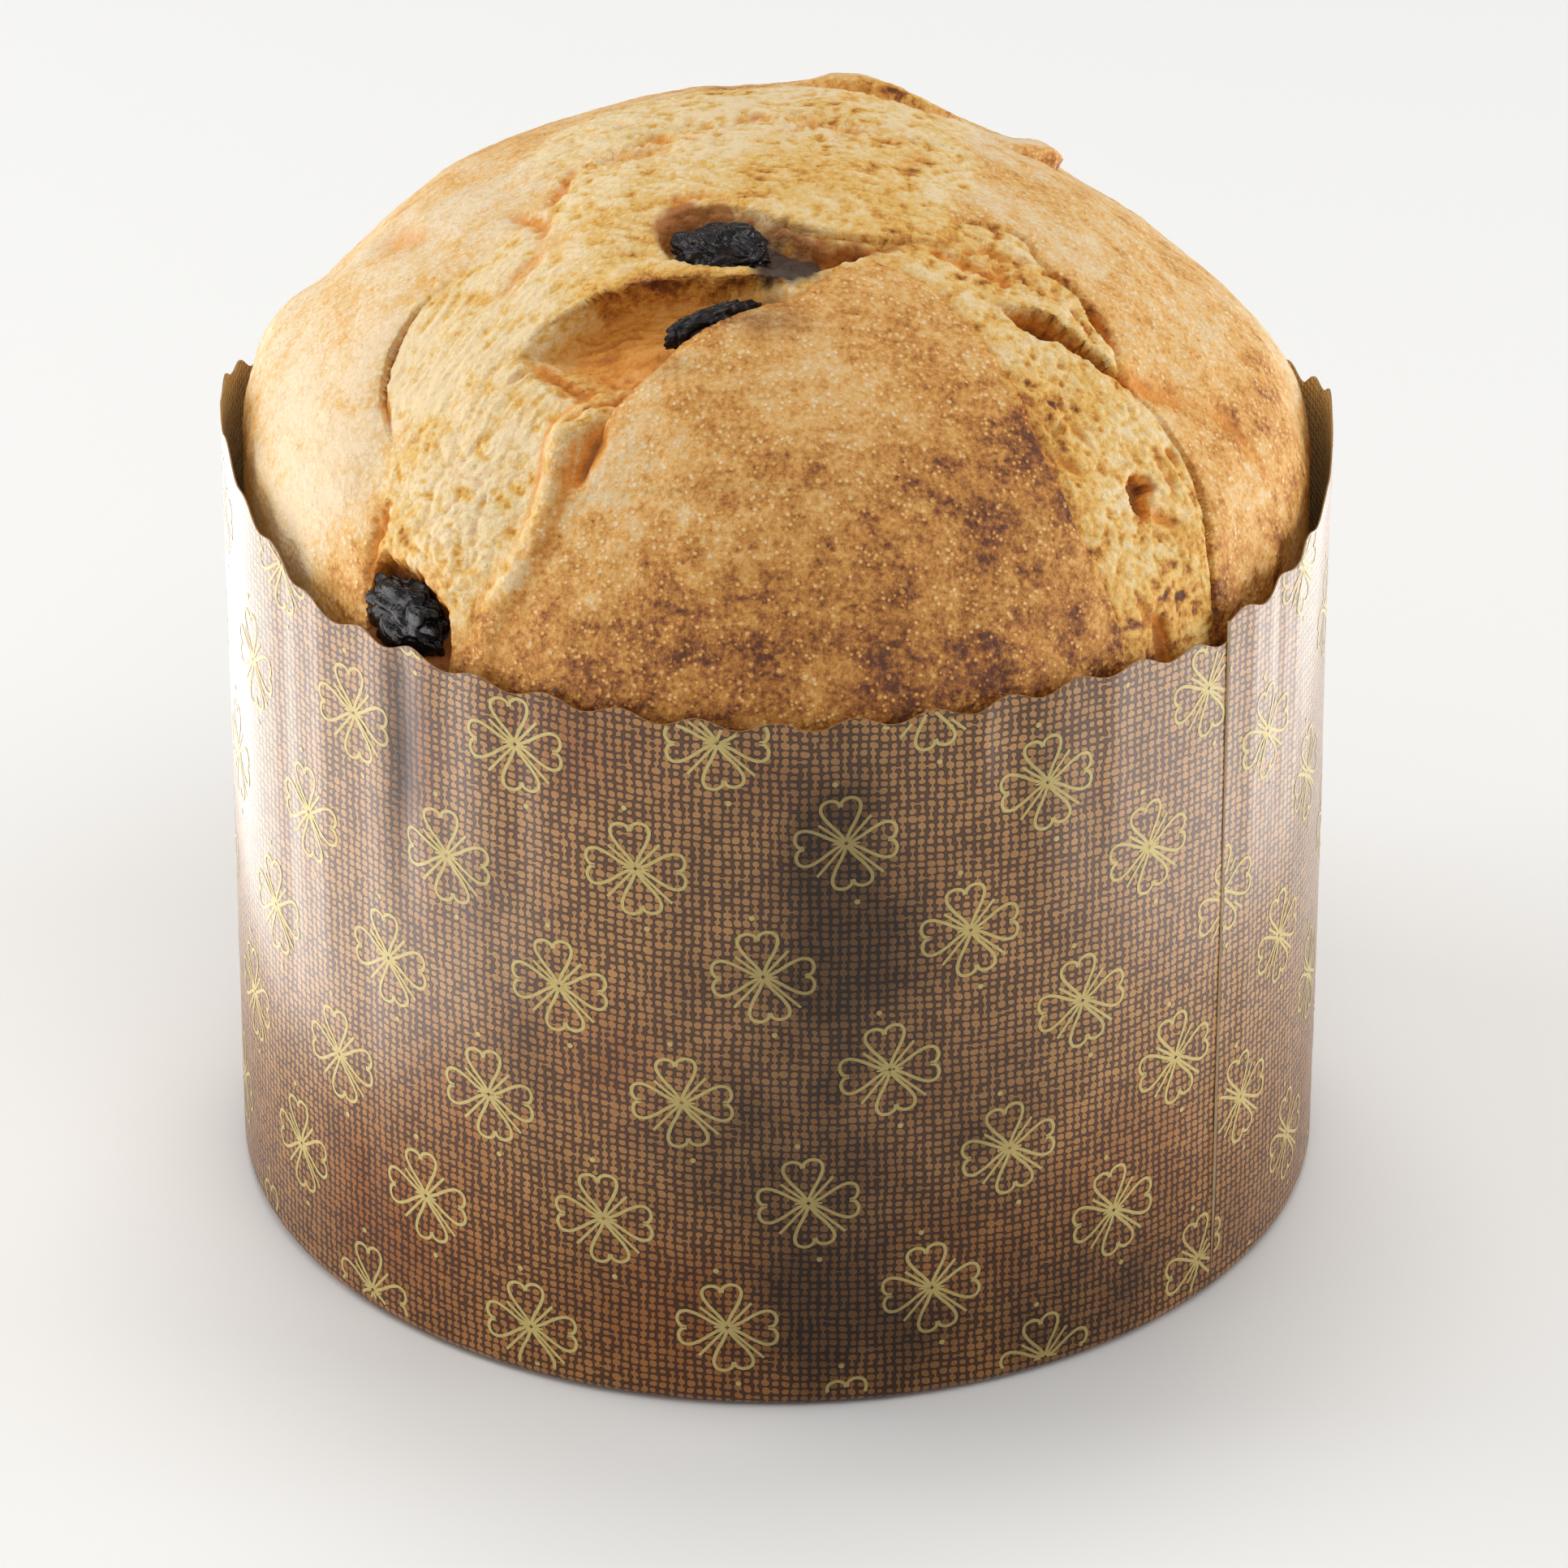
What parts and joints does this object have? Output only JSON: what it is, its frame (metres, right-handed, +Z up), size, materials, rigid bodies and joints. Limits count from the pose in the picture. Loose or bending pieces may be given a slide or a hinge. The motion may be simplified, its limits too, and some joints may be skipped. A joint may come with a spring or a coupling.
{
  "type": "panettone",
  "caption": "Tall domed sweet loaf with a torn golden top and dark raisins, baked in a round scalloped paper case with a weave and clover print.",
  "frame": {"origin": "centre of the paper case's base, on the surface it stands on", "axes": "+Z up; -Y is the front, the side with the large smooth lobe, and +X is the right of a viewer facing the front"},
  "size_m": [0.134, 0.134, 0.1358],
  "materials": {
    "crust": "matte baked crust with torn pale crumb",
    "printed_paper": "satin paper, brown weave print with gold line ornament",
    "raisin": "wrinkled semi-gloss"
  },
  "bodies": {
    "root": {"loaf": "crust", "paper_case": "printed_paper", "raisin_top": "raisin", "raisin_fold": "raisin", "raisin_edge": "raisin"}
  },
  "joints": []
}
